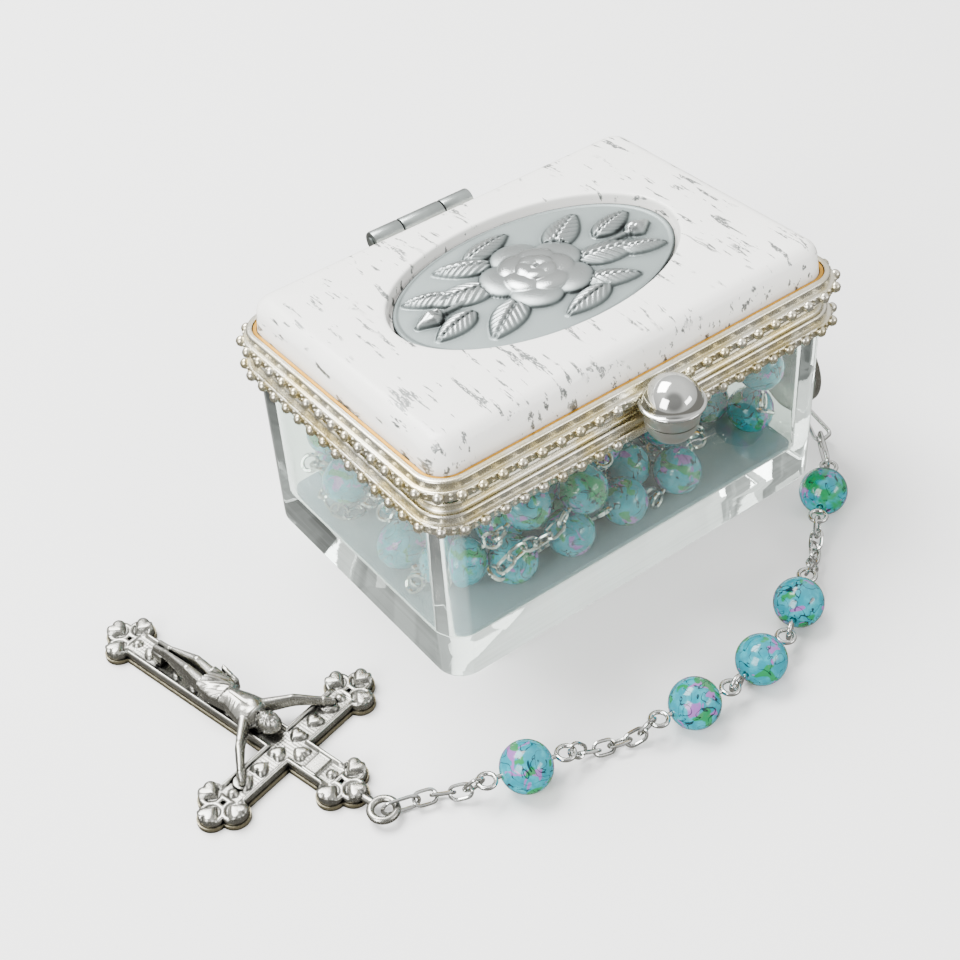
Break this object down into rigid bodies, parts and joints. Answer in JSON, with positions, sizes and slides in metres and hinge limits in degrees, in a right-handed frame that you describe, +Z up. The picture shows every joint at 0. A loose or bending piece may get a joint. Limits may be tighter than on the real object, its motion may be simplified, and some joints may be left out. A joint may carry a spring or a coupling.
{
  "type": "rosary box",
  "caption": "Small clear-walled keepsake box with a hinged, pearl-edged lid, an oval medallion and a ball clasp, with the rosary that it holds.",
  "frame": {"origin": "centre of the underside of the clear base", "axes": "+X along the box's long side, +Y towards the hinge, +Z up; the clasp faces -Y"},
  "size_m": [0.0964, 0.0693, 0.0355],
  "materials": {
    "clear_acrylic": "clear, polished",
    "pad": "slate blue felt",
    "rim_plating": "pale gilt and silver plating, satin with bright pearls",
    "gilt": "warm gilt",
    "plaque_enamel": "off-white enamel with worn silver flecks",
    "medal_pewter": "matte pewter with polished high points",
    "hinge_nickel": "satin nickel",
    "clasp_chrome": "polished",
    "clasp_dull": "satin",
    "antique_silver": "antiqued silver with dark recesses",
    "silver_wire": "bright silver",
    "bead_glass": "glossy sky blue with pink and green patches"
  },
  "bodies": {
    "base": {"acrylic_base": "clear_acrylic", "floor_pad": "pad", "base_rim": "rim_plating", "hinge_base_leaf": "hinge_nickel", "hinge_pin": "hinge_nickel", "clasp_lower": "clasp_dull", "jump_ring": "silver_wire", "chain_by_crucifix": "silver_wire", "chain_to_hail_marys": "silver_wire", "chain_to_our_father": "silver_wire", "pendant_eye_pins": "silver_wire", "tie_link": "silver_wire", "triangle_ring": "silver_wire", "centrepiece": "antique_silver", "chain_over_rim_front": "silver_wire", "chain_over_rim_back": "silver_wire", "decade_1_beads": "bead_glass", "decade_2_beads": "bead_glass", "decade_3_beads": "bead_glass", "decade_4_beads": "bead_glass", "decade_5_beads": "bead_glass", "decade_our_father_beads": "bead_glass", "decade_eye_pins": "silver_wire", "decade_links": "silver_wire"},
    "lid": {"lid_frame": "rim_plating", "lid_tray": "gilt", "lid_plaque": "plaque_enamel", "medallion": "medal_pewter", "hinge_lid_leaf": "hinge_nickel", "clasp_upper": "clasp_chrome"},
    "crucifix_body": {"crucifix": "antique_silver", "corpus": "antique_silver"},
    "our_father_bead_1_body": {"our_father_bead_1": "bead_glass"},
    "hail_mary_bead_1_body": {"hail_mary_bead_1": "bead_glass"},
    "hail_mary_bead_2_body": {"hail_mary_bead_2": "bead_glass"},
    "hail_mary_bead_3_body": {"hail_mary_bead_3": "bead_glass"},
    "our_father_bead_2_body": {"our_father_bead_2": "bead_glass"}
  },
  "joints": [
    {"name": "lid_hinge", "type": "hinge", "parent": "base", "child": "lid", "pos_m": [0, 0.024, 0.0293], "axis": [-1, 0, 0], "range_deg": [0, 105]},
    {"name": "crucifix_swivel", "type": "hinge", "parent": "base", "child": "crucifix_body", "pos_m": [-0.046, -0.0297, 0.0012], "axis": [0, 0, 1], "range_deg": [-15, 60]},
    {"name": "our_father_bead_1_spin", "type": "hinge", "parent": "base", "child": "our_father_bead_1_body", "pos_m": [-0.0312, -0.036, 0.00302], "axis": [0.965, -0.2622, 0], "continuous": true},
    {"name": "hail_mary_bead_1_spin", "type": "hinge", "parent": "base", "child": "hail_mary_bead_1_body", "pos_m": [-0.0113, -0.0409, 0.00302], "axis": [0.9848, -0.1736, 0], "continuous": true},
    {"name": "hail_mary_bead_2_spin", "type": "hinge", "parent": "base", "child": "hail_mary_bead_2_body", "pos_m": [-0.0012, -0.0409, 0.00302], "axis": [0.9848, 0.1736, 0], "continuous": true},
    {"name": "hail_mary_bead_3_spin", "type": "hinge", "parent": "base", "child": "hail_mary_bead_3_body", "pos_m": [0.0083, -0.0372, 0.00302], "axis": [0.8387, 0.5446, 0], "continuous": true},
    {"name": "our_father_bead_2_spin", "type": "hinge", "parent": "base", "child": "our_father_bead_2_body", "pos_m": [0.0241, -0.0255, 0.00302], "axis": [0.7986, 0.6018, 0], "continuous": true}
  ]
}
